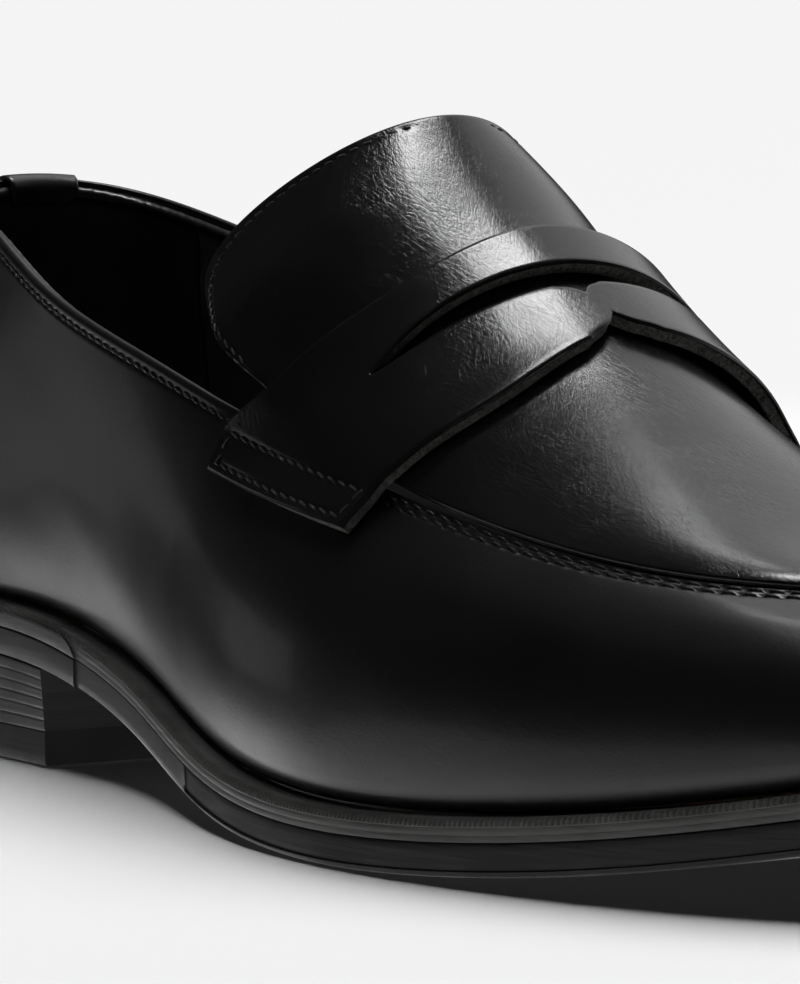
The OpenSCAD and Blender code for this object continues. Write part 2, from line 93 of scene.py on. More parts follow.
TONGUE_LATERAL = [[-9, -35, 79.5], [-6, -44, 75.5], [17, -37.5, 62.5]]
TONGUE_MEDIAL = [[16, 37, 65], [-6, 39, 76], [-7, 35, 80]]
TONGUE_LAST, TONGUE_BASE, TONGUE_POWER = 6.0, 4.2, 8
TOP_EDGE = LOOP[:, 2:5]
APRON_EDGE = TOP_EDGE.copy()
APRON_EDGE[TOE - 6:TOE - 3] = TONGUE_LATERAL
APRON_EDGE[TOE + 4:TOE + 7] = TONGUE_MEDIAL
UP = np.array([0.0, 0.0, 1.0])


def weights(f):
    f = f[..., None]
    return [(1 - f)**3 / 6, (3 * f**3 - 6 * f * f + 4) / 6,
            (-3 * f**3 + 3 * f * f + 3 * f + 1) / 6, f**3 / 6]


def ring(c, t):
    """Closed uniform cubic B-spline through the control rows c."""
    t = np.asarray(t, float)
    i = np.floor(t).astype(int)
    return sum(w * c[(i + j - 1) % len(c)] for j, w in enumerate(weights(t - i)))


def span(c, t):
    """Open uniform cubic B-spline that reaches both ends of the rows c."""
    t = np.asarray(t, float)
    n = len(c)
    c = np.vstack([2 * c[0] - c[1], c, 2 * c[-1] - c[-2]])
    i = np.clip(np.floor(t).astype(int), 0, n - 2)
    return sum(w * c[i + j] for j, w in enumerate(weights(t - i)))


def unit(v):
    return v / (np.linalg.norm(v, axis=-1, keepdims=True) + 1e-12)


def pair(a, b):
    return np.broadcast_arrays(np.asarray(a, float), np.asarray(b, float))


def upright(surface, a, b, step_a, step_b):
    """Unit normal of surface(a, b) from points a step to each side."""
    return unit(np.cross(surface(a + step_a, b) - surface(a - step_a, b),
                         surface(a, b + step_b) - surface(a, b - step_b)))


def distance_along(path):
    return np.concatenate([[0], np.cumsum(np.linalg.norm(np.diff(path, axis=0), axis=1))])


def ease(x):
    s = np.clip(x, 0, 1)
    return s * s * (3 - 2 * s)


def hill(x, width):
    return np.exp(-(np.asarray(x) / width)**2)


PROFILE_FINE = span(PROFILE, np.linspace(0, 8, 257))
LOWEST = PROFILE_FINE[:, 1].min()


def ground(x):
    """Height of the welt top; the lowest point of the forefoot sole meets z = 0."""
    return np.interp(x, PROFILE_FINE[:, 0], PROFILE_FINE[:, 1]) - LOWEST + WELT_T + SOLE_T


def outward(t):
    """Level unit direction out of the shoe, square to the feather line."""
    d = unit(ring(LOOP[:, :2], t + 1e-3) - ring(LOOP[:, :2], t - 1e-3))
    return np.stack([d[..., 1], -d[..., 0], 0 * t], -1)


def outline(t, out):
    """Feather line seen from above, moved outwards; rows of x, y."""
    t = np.asarray(t, float)
    return ring(LOOP[:, :2], t) + np.broadcast_to(out, t.shape)[..., None] * outward(t)[..., :2]


def wall(t, v):
    """Outside of the upper's side, loop station t, from the feather (v 0) to the top edge (v 1)."""
    t, v = pair(t, v)
    s, n = ring(LOOP, t), outward(t)
    f = np.stack([s[..., 0], s[..., 1], ground(s[..., 0])], -1)
    e = s[..., 2:5]
    h = np.linalg.norm(e - f, axis=-1)[..., None]
    full = np.clip((s[..., 6:7] - 20) / 30, 0, 1)
    a, b = np.radians(s[..., 5:6]), np.radians(s[..., 6:7])
    p = f + h * (.38 + .2 * full) * (np.cos(a) * UP + np.sin(a) * n)
    q = e - h * (.38 - .1 * full) * (np.cos(b) * UP - np.sin(b) * n)
    v = v[..., None]
    w = 1 - v
    return w**3 * f + 3 * w * w * v * p + 3 * w * v * v * q + v**3 * e


def wall_normal(t, v):
    return upright(wall, *pair(t, v), .01, .01)


def wall_at(t, v, out):
    return wall(t, v) + np.asarray(out)[..., None] * wall_normal(t, v)


def wall_height(t):
    t = np.asarray(t, float)
    return np.linalg.norm(wall(t, 0 * t + 1) - wall(t, 0 * t), axis=-1)


def behind(t):
    k = np.asarray(t, float) % COUNT
    return np.minimum(k, COUNT - k)


def wall_top(t):
    """How far up the wall its lining may reach: just short of the collar edge round the opening."""
    return 1 - 2.5 * (1 - ease((behind(t) - 4.5) / 0.4)) / wall_height(t)


def ridge_row(w):
    return w * (1 - np.exp(-(np.maximum(0, w) / 0.6)**1.5))


def apron(w, t):
    """Top of the forepart and tongue, w rows back from the toe, t across from the lateral side."""
    w, t = pair(w, t)
    e, g = ring(APRON_EDGE, TOE - w), ring(APRON_EDGE, TOE + w)
    tip = ring(APRON_EDGE, np.array(float(TOE)))
    k = (np.maximum(0, 1 - w)**2)[..., None]
    r = span(RIDGE, ridge_row(w)) + k * (tip - RIDGE[0])
    a = np.radians(span(RISE, w))
    flat = (g - e) / 2 * np.array([1, 1, 0])
    l = np.linalg.norm(flat, axis=-1, keepdims=True) / 2
    h = unit(flat)
    q = e + l * (np.cos(a) * h + np.sin(a) * UP)
    p = g + l * (np.sin(a) * UP - np.cos(a) * h)
    m = (16 * r - e - 4 * q - 4 * p - g) / 6
    t = t[..., None]
    s = 1 - t
    return s**4 * e + 4 * s**3 * t * q + 6 * s * s * t * t * m + 4 * s * t**3 * p + t**4 * g


def apron_normal(w, t):
    w, t = pair(w, t)
    return upright(lambda a, b: apron(b, a), t, w, .01, .02)


def apron_at(w, t, out):
    return apron(w, t) + np.asarray(out)[..., None] * apron_normal(w, t)


def tongue_end(t):
    x = np.minimum(1, abs(2 * np.asarray(t) - 1))
    return TONGUE_BASE + (TONGUE_LAST - TONGUE_BASE) * (1 - x**TONGUE_POWER)**(1 / TONGUE_POWER)


def girth(w, g):
    """Lateral wall, apron and medial wall as one path round the instep, g from 0 to 1."""
    w, g = pair(w, g)
    near = wall(TOE - w, .5 + 2.5 * np.minimum(g, .2))
    far = wall(TOE + w, .5 + 2.5 * (1 - np.maximum(g, .8)))
    mid = apron(w, np.clip((g - .2) / .6, 0, 1))
    return np.where((g < .2)[..., None], near, np.where((g > .8)[..., None], far, mid))


EDGE = outline(np.arange(0, COUNT, .05), SOLE_EDGE)
MIDDLE = np.array([(EDGE[:, 0].min() - .4 + EDGE[:, 0].max()) / 2,
                   (EDGE[:, 1].min() + EDGE[:, 1].max()) / 2, 0])


# ---------------- mesh making
def add(name, data):
    obj = bpy.data.objects.new(name, data)
    bpy.context.collection.objects.link(obj)
    return obj


def smooth_mesh(name, points, faces, material):
    mesh = bpy.data.meshes.new(name)
    mesh.from_pydata(points, [], faces)
    mesh.validate()
    mesh.polygons.foreach_set("use_smooth", [True] * len(mesh.polygons))
    mesh.materials.append(material)
    return mesh


def make(name, points, faces, material, node, sharp=None):
    """One mesh piece from millimetre points, riding on the shoe's body."""
    metres = (np.asarray(points) - MIDDLE) * .001
    mesh = smooth_mesh(name, metres.tolist(), [tuple(map(int, f)) for f in faces], material)
    clean = bmesh.new()
    clean.from_mesh(mesh)
    bmesh.ops.remove_doubles(clean, verts=clean.verts, dist=1e-7)
    bmesh.ops.recalc_face_normals(clean, faces=clean.faces)
    clean.to_mesh(mesh)
    clean.free()
    if sharp:
        mesh.set_sharp_from_angle(angle=math.radians(sharp))
    mesh.update()
    obj = add(name, mesh)
    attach(obj, "root")
    if node:
        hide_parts(node)
    return obj


def grid_quads(n, m, wrap=False):
    """Quads of an n by m grid of points; wrap joins the last row to the first."""
    i, j = np.meshgrid(np.arange(n if wrap else n - 1), np.arange(m - 1), indexing="ij")
    k = (i + 1) % n
    return np.stack([i * m + j, i * m + j + 1, k * m + j + 1, k * m + j], -1).reshape(-1, 4)


def rims(quads):
    """Edges that only one quad uses, each in its quad's direction."""
    e = np.concatenate([quads[:, [0, 1]], quads[:, [1, 2]], quads[:, [2, 3]], quads[:, [3, 0]]])
    e = e[e[:, 0] != e[:, 1]]
    size = quads.max() + 1
    forward = e[:, 0] * size + e[:, 1]
    return e[~np.isin(forward, e[:, 1] * size + e[:, 0])]


def nearest(points, gaps):
    """Least length of gaps(points), a block of points at a time."""
    blocks = [points[start:start + 2000, None] for start in range(0, len(points), 2000)]
    return np.concatenate([np.sqrt((gaps(p)**2).sum(-1).min(1)) for p in blocks])


def path_distance(points, path):
    return nearest(points, lambda p: p - path)


def rim_distance(points, edges):
    """Distance from every point to the nearest rim edge, in mm."""
    a = points[edges[:, 0]]
    ab = points[edges[:, 1]] - a
    length = (ab**2).sum(-1) + 1e-12

    def gaps(p):
        return p - a - np.clip(((p - a) * ab).sum(-1) / length, 0, 1)[..., None] * ab
    return nearest(points, gaps)


def slab(name, points, normals, quads, up, down, material, node, round_up=.5,
         round_down=.2, lift=0, rough=0, steps=1, seed=1):
    """Closed sheet of leather between two depths, with rounded or raw edges all round."""
    points, normals = points.reshape(-1, 3), normals.reshape(-1, 3)
    edges = rims(quads)
    d = rim_distance(points, edges)

    def fall(r):
        return r * (1 - np.sqrt(np.clip(1 - (1 - np.minimum(d / r, 1))**2, 0, 1)))
    top = points + normals * (up - fall(round_up) + lift)[:, None]
    low = points + normals * (down + fall(round_down))[:, None]
    count = len(points)
    rim_ids = np.unique(edges)
    place = np.full(count, -1)
    place[rim_ids] = np.arange(len(rim_ids))
    random = np.random.default_rng(seed)
    # Outward direction in the sheet at each rim point, for frayed edges.
    out = np.zeros_like(points)
    e = unit(points[edges[:, 1]] - points[edges[:, 0]])
    side = np.cross(e, normals[edges[:, 0]])
    np.add.at(out, edges[:, 0], side)
    np.add.at(out, edges[:, 1], side)
    out = unit(out)
    all_points, faces = [top, low], [quads[:, ::-1], quads + count]
    previous, base = edges, 2 * count
    for s in range(1, steps):
        f = s / steps
        row = top[rim_ids] * (1 - f) + low[rim_ids] * f
        row = row + out[rim_ids] * (random.normal(0, 1, len(rim_ids)) * rough)[:, None]
        all_points.append(row)
        here = base + place[edges]
        faces.append(np.stack([previous[:, 0], previous[:, 1], here[:, 1], here[:, 0]], -1))
        previous, base = here, base + len(rim_ids)
    last = edges + count
    faces.append(np.stack([previous[:, 0], previous[:, 1], last[:, 1], last[:, 0]], -1))
    return make(name, np.concatenate(all_points), np.concatenate(faces), material, node)


def loft(name, rows, material, node, sharp=None):
    """Solid through closed loops of points; its ends are capped as strips."""
    k, n = rows.shape[:2]
    i, j = np.meshgrid(np.arange(k - 1), np.arange(n), indexing="ij")
    after = (j + 1) % n
    sides = np.stack([i * n + j, i * n + after, (i + 1) * n + after, (i + 1) * n + j], -1)
    c = np.arange(n // 2 - 1)
    cap = np.stack([c, n - 1 - c, n - 2 - c, c + 1], -1)
    faces = np.concatenate([sides.reshape(-1, 4), cap, (k - 1) * n + cap[:, ::-1]])
    return make(name, rows.reshape(-1, 3), faces, material, node, sharp)


def stitches(name, path, normals, node, pitch, length, radius=.21, closed=False):
    """Row of single stitches along a path: short cords whose ends dive into the leather."""
    slant, sink = .22, .25
    if closed:
        path, normals = np.vstack([path, path[:1]]), np.vstack([normals, normals[:1]])
    s = distance_along(path)
    count = max(1, round(s[-1] / pitch))
    step = s[-1] / count
    rings, sides = 9, 8
    u = np.linspace(-1, 1, rings)
    angle = np.arange(sides) * 2 * math.pi / sides
    a, c = np.meshgrid(np.arange(rings - 1), np.arange(sides), indexing="ij")
    e = (c + 1) % sides
    tube = np.stack([a * sides + c, a * sides + e, (a + 1) * sides + e, (a + 1) * sides + c], -1)
    cap = np.arange(sides)
    points, faces = [], []
    for i in range(count):
        mid = (i + .5) * step
        at = mid + u * length / 2 * step / pitch
        p = np.stack([np.interp(at, s, path[:, c]) for c in range(3)], -1)
        n = unit(np.stack([np.interp(at, s, normals[:, c]) for c in range(3)], -1))
        d = unit(np.gradient(p, axis=0))
        b = unit(np.cross(d, n))
        p = p + b * (u * slant)[:, None] + n * (radius * .75 - (radius + sink) * abs(u)[:, None]**5)
        r = radius * np.sqrt(1 - .8 * abs(u)**6)
        loop = (p[:, None] + r[:, None, None] * (np.cos(angle)[None, :, None] * b[:, None]
                                                 + np.sin(angle)[None, :, None] * n[:, None]))
        base = len(points) * rings * sides
        points.append(loop.reshape(-1, 3))
        faces += (base + tube.reshape(-1, 4)).tolist()
        faces += [base + cap[::-1], base + (rings - 1) * sides + cap]
    return make(name, np.concatenate(points), faces, THREAD, node)


# ---------------- materials
class Nodes:
    """Small helper that wires the nodes of a material or a world."""

    def __init__(self, owner, place):
        owner.use_nodes = True
        self.tree = owner.node_tree
        self.place = self.new("ShaderNodeTexCoord").outputs[place]

    def new(self, kind, **settings):
        node = self.tree.nodes.new(kind)
        for key, value in settings.items():
            setattr(node, key, value)
        return node

    def put(self, node, socket, value):
        target = node.inputs[socket]
        if isinstance(value, bpy.types.NodeSocket):
            self.tree.links.new(value, target)
        else:
            target.default_value = value

    def mapped(self, scale, turn=(0, 0, 0), shift=(0, 0, 0), kind="POINT"):
        """Coordinates scaled and turned; kind TEXTURE stretches a texture along a slant."""
        node = self.new("ShaderNodeMapping", vector_type=kind)
        for key, value in (("Vector", self.place), ("Scale", scale), ("Rotation", turn),
                           ("Location", shift)):
            self.put(node, key, value)
        return node.outputs["Vector"]

    def noise(self, scale, detail=3, rough=.55, distort=0, where=None):
        node = self.new("ShaderNodeTexNoise")
        self.put(node, "Vector", where or self.place)
        for key, value in (("Scale", scale), ("Detail", detail), ("Roughness", rough),
                           ("Distortion", distort)):
            self.put(node, key, value)
        return node.outputs["Fac"]

    def cells(self, scale, feature="F1", where=None):
        node = self.new("ShaderNodeTexVoronoi", feature=feature)
        self.put(node, "Vector", where or self.place)
        self.put(node, "Scale", scale)
        return node.outputs["Distance"]

    def warp(self, scale, amount):
        """Coordinates pushed about by noise, for lines that wander."""
        noise = self.new("ShaderNodeTexNoise")
        self.put(noise, "Vector", self.place)
        self.put(noise, "Scale", scale)
        pushed = self.new("ShaderNodeVectorMath", operation="MULTIPLY_ADD")
        self.put(pushed, 0, noise.outputs["Color"])
        self.put(pushed, 1, (amount,) * 3)
        self.put(pushed, 2, self.place)
        return pushed.outputs[0]

    def wave(self, scale, distort=0, **settings):
        node = self.new("ShaderNodeTexWave", **settings)
        self.put(node, "Vector", self.place)
        self.put(node, "Scale", scale)
        self.put(node, "Distortion", distort)
        return node.outputs["Fac"]

    def math(self, operation, a, b=0.0):
        node = self.new("ShaderNodeMath", operation=operation)
        self.put(node, 0, a)
        self.put(node, 1, b)
        return node.outputs[0]

    def span(self, value, low, high, to_low=0.0, to_high=1.0):
        node = self.new("ShaderNodeMapRange", interpolation_type="SMOOTHSTEP")
        for key, number in (("Value", value), ("From Min", low), ("From Max", high),
                            ("To Min", to_low), ("To Max", to_high)):
            self.put(node, key, number)
        return node.outputs["Result"]

    def mix(self, factor, a, b):
        """Colour between a and b; sockets 6, 7 and 2 are the Mix node's colours A, B and Result."""
        node = self.new("ShaderNodeMix", data_type="RGBA")
        self.put(node, "Factor", factor)
        self.put(node, 6, (*a, 1))
        self.put(node, 7, (*b, 1))
        return node.outputs[2]

    def tones(self, factor, base, dark, light):
        return self.mix(factor, tuple(dark * c for c in base), tuple(light * c for c in base))

    def blend(self, a, share_a, b, share_b):
        return self.math("ADD", self.math("MULTIPLY", a, share_a), self.math("MULTIPLY", b, share_b))

    def bump(self, height, strength, distance, before=None):
        node = self.new("ShaderNodeBump")
        self.put(node, "Height", height)
        self.put(node, "Strength", strength)
        self.put(node, "Distance", distance)
        if before:
            self.put(node, "Normal", before)
        return node.outputs["Normal"]


class Skin(Nodes):
    """One Principled material."""

    def __init__(self, name, colour, roughness, **values):
        self.material = bpy.data.materials.new(name)
        super().__init__(self.material, "Object")
        self.shader = self.tree.nodes["Principled BSDF"]
        self.put(self.shader, "Base Color", (*colour, 1))
        self.put(self.shader, "Roughness", roughness)
        for key, value in values.items():
            self.put(self.shader, key.replace("_", " "), value)

    def done(self, normal, colour, roughness=None):
        self.put(self.shader, "Normal", normal)
        self.put(self.shader, "Base Color", colour)
        if roughness:
            self.put(self.shader, "Roughness", roughness)
        return self.material


def wrinkles(m, scale, turn, shift):
    """Soft narrow valleys that wander along one slanted direction; 0 in a valley, 1 between."""
    slanted = m.mapped((4, 1, 1), turn, (shift, shift * .7, shift * .4), "TEXTURE")
    level = m.noise(scale, 2, .5, .5, slanted)
    return m.span(m.math("ABSOLUTE", m.math("SUBTRACT", level, .5)), 0, .1)


def polished_leather(name, base=(.0048, .0048, .0053), gloss=.22, crease=1.0, seed=0.0):
    """Smooth black box leather: fine pores, two families of slanted wrinkles, satin gloss."""
    m = Skin(name, base, gloss, Specular_IOR_Level=.5, Coat_Weight=.25, Coat_Roughness=.14)
    shifted = m.mapped((1, 1, 1), (seed, seed * .7, 0))
    one = wrinkles(m, 1150, (0, .64, -.56), seed)
    other = wrinkles(m, 1300, (0, .49, .36), seed + .3)
    thick = m.span(m.noise(75, 2, .5, 0, shifted), .36, .64, .5, 1)
    valleys = m.math("MULTIPLY", m.math("ADD", one, other), thick)
    normal = m.bump(valleys, crease, .0000125)
    # Pores, coarser grain, and two sizes of slow unevenness.
    for noise, strength, depth in (((3300, 3, .62, 0), .5, .00002), ((900, 3, .6, .5), .3, .00004),
                                   ((190, 2, .5, 0), .12, .0002), ((42, 2, .5, 0), .16, .0013)):
        normal = m.bump(m.noise(*noise, shifted), strength, depth, normal)
    cloud = m.noise(70, 3, .5, .3, shifted)
    tone = m.tones(m.span(m.noise(24, 3), .35, .7), base, 1, 1.7)
    return m.done(normal, tone, m.span(cloud, .2, .8, gloss - .02, gloss + .03))


def rubber(name, base, gloss=.5, lines=0.0, grain=1.0):
    """Moulded or buffed sole edge: fine scratches along the shoe and dull specks."""
    m = Skin(name, base, gloss, Specular_IOR_Level=.4)
    brushed = m.noise(420, 4, .6, 0, m.mapped((.12, .12, 3.2)))
    speck = m.noise(2400, 3, .6)
    cloud = m.noise(60, 4, .6, .5)
    normal = m.bump(brushed, .25 + lines, .00016)
    normal = m.bump(speck, .18 * grain, .00007, normal)
    tone = m.tones(m.span(m.blend(brushed, .5, cloud, .5), .35, .65), base, .78, 1.28)
    return m.done(normal, tone, m.span(cloud, .3, .7, gloss - .06, gloss + .1))


def stacked(name, base):
    """Burnished heel side: faint horizontal layers of leather board."""
    m = Skin(name, base, .45, Specular_IOR_Level=.42)
    layer = m.noise(240, 3, .55, 0, m.mapped((.05, .05, 2.4)))
    grit = m.noise(1900, 3, .6)
    smear = m.noise(80, 4, .6, .6)
    normal = m.bump(layer, .3, .00022)
    normal = m.bump(grit, .2, .00008, normal)
    tone = m.tones(m.span(m.blend(layer, .6, smear, .4), .35, .66), base, .75, 1.3)
    return m.done(normal, tone, m.span(smear, .3, .7, .38, .56))


def fibre(name, base):
    """Raw cut leather: matted short fibres."""
    m = Skin(name, base, .9, Specular_IOR_Level=.2)
    hair = m.noise(1500, 5, .7, 1.2)
    clump = m.cells(900, "F1", m.warp(600, .0012))
    normal = m.bump(hair, .9, .0004)
    normal = m.bump(clump, .6, .0003, normal)
    return m.done(normal, m.tones(m.span(hair, .35, .7), base, .4, 1.9))


def thread_material(name, base):
    """Waxed twisted thread."""
    m = Skin(name, base, .36, Specular_IOR_Level=.5, Coat_Weight=.3, Coat_Roughness=.25)
    normal = m.bump(m.wave(900, 1.5, bands_direction="DIAGONAL"), .6, .00012)
    fuzz = m.noise(2500, 3)
    tone = m.tones(m.span(fuzz, .3, .7), base, .6, 1.6)
    return m.done(m.bump(fuzz, .4, .00006, normal), tone)


def soft_lining(name, base, gloss=.6, weave=False):
    """Matt lining leather, or a woven backing cloth."""
    m = Skin(name, base, gloss, Specular_IOR_Level=.35, Sheen_Weight=.08)
    cloud = m.noise(45, 4, .6, .4)
    if weave:
        warp_way, weft_way = (m.wave(520, bands_direction=way) for way in "XZ")
        normal = m.bump(m.math("MAXIMUM", warp_way, weft_way), .6, .00025)
    else:
        normal = m.bump(m.span(m.cells(1300, "DISTANCE_TO_EDGE"), 0, .25), .35, .0001)
    normal = m.bump(m.noise(90, 3), .3, .0009, normal)
    tone = m.tones(m.span(cloud, .3, .7), base, .75, 1.4)
    return m.done(normal, tone, m.span(cloud, .3, .7, gloss - .08, gloss + .1))


def granular(name, dark, light, scale, gloss=.85, depth=.0005):
    """Cork, fibre board or foam, by the size of its grains."""
    m = Skin(name, dark, gloss)
    grains = m.cells(scale)
    speck = m.noise(scale * 2, 4, .6)
    normal = m.bump(grains, .5, depth)
    normal = m.bump(speck, .4, depth * .4, normal)
    tone = m.mix(m.span(m.math("ADD", grains, speck), .4, 1.2), dark, light)
    return m.done(normal, tone)


def metal(name, base, gloss=.35):
    m = Skin(name, base, gloss, Metallic=1.0)
    drawn = m.noise(900, 3, .6, 0, m.mapped((.05, 1, 1)))
    tone = m.tones(drawn, base, .8, 1)
    return m.done(m.bump(drawn, .3, .00008), tone, m.span(drawn, .3, .7, gloss - .08, gloss + .12))


LEATHER = polished_leather("upper_leather", gloss=.33, crease=.45)
APRON_LEATHER = polished_leather("apron_leather", crease=1.0, seed=1.3)
STRAP_LEATHER = polished_leather("strap_skin", crease=.9, seed=2.1)
BINDING = polished_leather("binding_leather", (.008, .008, .0085), .34, .3, .6)
RAW = fibre("raw_fibre", (.085, .083, .078))
THREAD = thread_material("thread", (.014, .014, .015))
LINING = soft_lining("lining_leather", (.065, .065, .067), .5)
SOCK = soft_lining("sock_leather", (.026, .026, .027), .6)
CLOTH = soft_lining("lining_fabric", (.030, .029, .028), .85, True)
WELT = rubber("welt_rubber", (.085, .085, .082), .42, .3)
SOLE = rubber("sole_rubber", (.052, .052, .051), .46)
FOREFOOT = rubber("forefoot_rubber", (.017, .017, .018), .55, .2, 1.6)
LIFT = rubber("lift_rubber", (.020, .020, .022), .6, 0, 1.4)
STACK = stacked("heel_stack", (.030, .030, .030))
CORK = granular("cork", (.16, .09, .05), (.42, .28, .16), 420)
BOARD = granular("board", (.28, .19, .11), (.46, .34, .22), 700, .8, .0002)
FOAM = granular("foam", (.62, .59, .52), (.80, .77, .70), 1400, .9, .0003)
STIFF = soft_lining("stiffener", (.42, .35, .26), .8, True)
STEEL = metal("steel", (.45, .46, .48))
BRASS = metal("brass", (.60, .42, .16), .3)


# ---------------- sole and heel
def station(x, out, side):
    """Loop distance from the heel back, 0 to 9, where one side of the outline reaches x."""
    low, high = 0.0, float(TOE)
    for _ in range(30):
        mid = (low + high) / 2
        if outline(side * mid, out)[0] < x:
            low = mid
        else:
            high = mid
    return (low + high) / 2


def crowded(count):
    """Shares from 0 to 1, closer together at both ends."""
    return (1 - np.cos(math.pi * np.linspace(0, 1, count))) / 2


def plate(name, tip, profile, height, material, node, rows, cols=10, crown=None):
    """Layer of the bottom from the heel back (tip 0) or the toe (tip 9) to a cut.

    Profile rows run from top to bottom: distance outside the feather, cut x. Height gives z for
    x and a profile index.
    """
    s = 1 - np.cos(math.pi / 2 * np.linspace(0, 1, rows))
    sides = {1: [], -1: []}
    for side, line in sides.items():
        for k, (out, cut) in enumerate(profile):
            xy = outline(side * (tip + s * (station(cut, out, side) - tip)), out)
            line.append(np.column_stack([xy, height(xy[:, 0], k)]))
    last = len(profile) - 1
    inner = crowded(cols + 1)[1:-1]

    def across(k):
        row = [sides[1][k] * (1 - q) + sides[-1][k] * q for q in inner]
        for q, p in zip(inner, row):
            p[:, 2] = height(p[:, 0], k)
            if crown is not None:
                p[:, 2] += crown(p[:, 0], q, k)
        return row
    half = len(profile) // 2
    loop = (sides[1][:half][::-1] + across(0) + sides[-1] + across(last)[::-1]
            + sides[1][half:][::-1])
    return loft(name, np.stack(loop, 1), material, node, 38)


def ribbon(name, profile, start, end, rows, material, node):
    """Strip swept along the feather line: profile rows are out, drop, and their wheeled share."""
    start, end = np.broadcast_to(start, len(profile)), np.broadcast_to(end, len(profile))
    s = np.linspace(0, 1, rows)
    columns = []
    for (out, drop, share), a, b in zip(profile, start, end):
        t = a + (b - a) * s
        cut = share * wheeling(t)
        xy = outline(t, out - .5 * cut)
        columns.append(np.column_stack([xy, ground(xy[:, 0]) - drop - .6 * cut]))
    return loft(name, np.stack(columns, 1), material, node, 40)


def wheeling(t):
    """Depth of the wheeling on the welt edge, one fine notch after another, in mm."""
    line = np.linspace(-3, COUNT, 4200)
    turn = np.interp(t, line, distance_along(outline(line, SOLE_EDGE))) / NOTCH_PITCH
    return NOTCH_DEPTH * (.5 - .5 * np.cos(2 * math.pi * turn))**.8


def joint(drop):
    """Curved joint between waist and forefoot soles, as x at a depth under the welt."""
    return JOINT_X - 3.4 + 4.6 * min(1, abs(drop - 2.1) / 2.1)**2.5


def build_bottom():
    e = SOLE_EDGE
    waist = [(e - .2, 0), (e - .03, .1), (e, .4), (e, 1.9), (e, 3.0), (e - .05, 4.0), (e - .35, 4.62),
             (e - 1.1, SOLE_T)]
    plate("outsole_waist", 0, [(o, joint(d) - .12) for o, d in waist],
          lambda x, k: ground(x) - WELT_T - waist[k][1], SOLE, "outsole", 260)
    fore = [(e - .9, 0), (e - .55, .2), (e - .42, .5), (e - .42, 1.3), (e - .42, 2.1), (e - .42, 2.9),
            (e - .45, 3.6), (e - .52, 3.95), (e - .06, 4.14), (e - .08, 4.35), (e - .4, 4.74),
            (e - 1.1, SOLE_T)]
    plate("outsole_forefoot", TOE, [(o, joint(d) + .12) for o, d in fore],
          lambda x, k: ground(x) - WELT_T - fore[k][1], FOREFOOT, "forefoot_sole", 320)
    section = [(-4, .15, 0), (1.2, .15, 0), (e - 1.25, .15, .25), (e - .7, .2, 1), (e - .2, .46, 1),
               (e, 1.0, .85), (e + .02, 1.35, .15), (e + .02, 1.5, 0), (e - .04, 1.62, 0),
               (e + .02, 1.75, 0), (e + .02, 2.6, 0), (e - .03, 2.7, 0), (e, 2.82, 0), (e, 3.5, 0),
               (e - .04, 3.66, 0), (e - .2, 3.74, 0), (-3, 3.72, 0), (-4, 3.72, 0)]
    ribbon("welt_strip", section, 3.1, 15.0, 4300, WELT, "welt")
    p = e + .45
    section = [(-4, .0, 0), (1.5, .0, 0), (p - 1.3, .02, .2), (p - .7, .1, .8), (p - .2, .4, .8),
               (p, .95, .6), (p + .02, 1.4, 0), (p + .04, 2.2, 0), (p, 3.2, 0), (p - .12, 3.6, 0),
               (p - .5, 3.78, 0), (-4, 3.78, 0)]
    # The front ends of the rand lean forward in an arc.
    reach = np.array([.2 * (1 - (1 - min(1, d / 3.7))**2) for _, d, _ in section])
    ribbon("heel_rand_strip", section, -3.05 - reach, 3.22 + reach, 2100, WELT, "heel_rand")
    # The outsole edge under the heel stands as proud as the rand and stops with it.
    band = [(2, .02, 0), (p - .5, .02, 0), (p - .1, .22, 0), (p, .6, 0), (p, 2.2, 0), (p - .02, 4.1, 0),
            (p - .3, 4.62, 0), (p - 1.0, 4.95, 0), (2, 4.95, 0), (1.5, 2.5, 0)]
    band = [(o, d + WELT_T, w) for o, d, w in band]
    ribbon("heel_seat_band", band, -3.25, 3.42, 600, SOLE, None)
    build_heel()


def heel_seat(x):
    return ground(x) - WELT_T - SOLE_T - .1


def lift_z(x, share):
    return TOP_LIFT_T + share * (heel_seat(x) - TOP_LIFT_T)


def build_heel():
    levels = [1, .84, .68, .52, .36, .18, 0]
    shares = [0, .02, .3, .7, .98, 1]
    nicks = [.02, 0, 0, 0, 0, .02]
    inward = .15
    for i, (top, low) in enumerate(zip(levels, levels[1:])):
        def height(x, k, top=top, low=low):
            return lift_z(x, top) + (lift_z(x, low) - lift_z(x, top)) * (shares[k] * .996 + .002)
        profile = [(3.3 - inward * (i + f) - n, BREAST_X - n) for f, n in zip(shares, nicks)]
        node = "heel_lift_" + ("upper", "middle", "lower")[i // 2]
        plate(f"heel_stack_{i + 1}", 0, profile, height, STACK, node, 110, 6)
    rows = [(2.3, 6), (2.5, 5.75), (2.5, 4), (2.45, 2), (2.4, .7), (1.9, 0)]
    plate("heel_top_piece", 0, [(o, BREAST_X + (.1 if k not in (0, 5) else -.3))
                                for k, (o, _) in enumerate(rows)],
          lambda x, k: 0 * x + rows[k][1], LIFT, "heel_top_lift", 130, 6)


# ---------------- inside the bottom
def cushion(x):
    return .3 + 2.7 * (1 - ease((x + 96) / 26))


